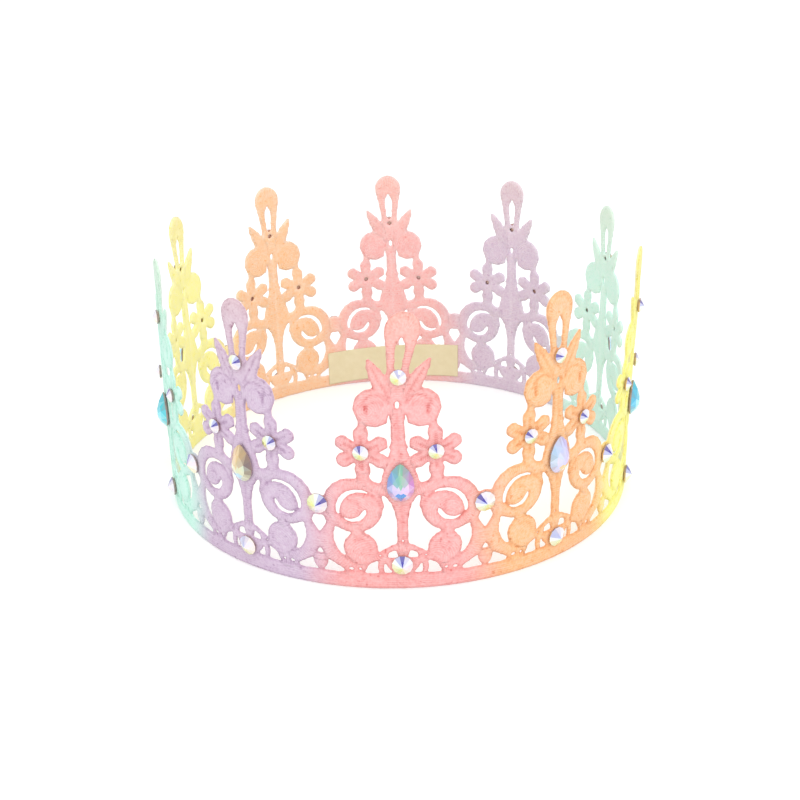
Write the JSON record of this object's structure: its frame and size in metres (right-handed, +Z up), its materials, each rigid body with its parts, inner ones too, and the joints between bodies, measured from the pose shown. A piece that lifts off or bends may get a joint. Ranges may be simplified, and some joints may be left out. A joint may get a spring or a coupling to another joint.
{
  "type": "lace crown",
  "caption": "Open costume crown: a stiffened openwork lace strip closed into a ring, with tall looped towers, glued faceted stones and a plain woven label inside.",
  "frame": {"origin": "centre of the ring at the lower edge of the lace", "axes": "+Z up along the axis of the ring, -Y through the front tower, +X to the viewer's right"},
  "size_m": [0.1666, 0.168, 0.0876],
  "materials": {
    "lace": "stiffened satin-stitch lace, dyed in pastel bands from pink through peach, yellow, mint and lavender",
    "label": "woven satin ribbon, matt, bare",
    "crystal": "faceted, foil-backed, iridescent coating",
    "pear_crystal": "faceted, foil-backed, strong iridescent coating"
  },
  "bodies": {
    "root": {"lace_band": "lace", "label": "label", "base_stone_1": "crystal", "base_stone_2": "crystal", "base_stone_3": "crystal", "base_stone_4": "crystal", "base_stone_5": "crystal", "base_stone_6": "crystal", "base_stone_7": "crystal", "base_stone_8": "crystal", "base_stone_9": "crystal", "base_stone_10": "crystal", "junction_stone_1": "crystal", "junction_stone_2": "crystal", "junction_stone_3": "crystal", "junction_stone_4": "crystal", "junction_stone_5": "crystal", "junction_stone_6": "crystal", "junction_stone_7": "crystal", "junction_stone_8": "crystal", "junction_stone_9": "crystal", "junction_stone_10": "crystal", "pear_stone_1": "pear_crystal", "pear_stone_2": "pear_crystal", "pear_stone_3": "pear_crystal", "pear_stone_4": "pear_crystal", "pear_stone_5": "pear_crystal", "pear_stone_6": "pear_crystal", "pear_stone_7": "pear_crystal", "pear_stone_8": "pear_crystal", "pear_stone_9": "pear_crystal", "pear_stone_10": "pear_crystal", "top_stone_1": "crystal", "top_stone_2": "crystal", "top_stone_3": "crystal", "top_stone_4": "crystal", "top_stone_5": "crystal", "top_stone_6": "crystal", "top_stone_7": "crystal", "top_stone_8": "crystal", "top_stone_9": "crystal", "top_stone_10": "crystal", "flower_stones_1": "crystal", "flower_stones_2": "crystal", "flower_stones_3": "crystal", "flower_stones_4": "crystal", "flower_stones_5": "crystal", "flower_stones_6": "crystal", "flower_stones_7": "crystal", "flower_stones_8": "crystal", "flower_stones_9": "crystal", "flower_stones_10": "crystal"}
  },
  "joints": []
}
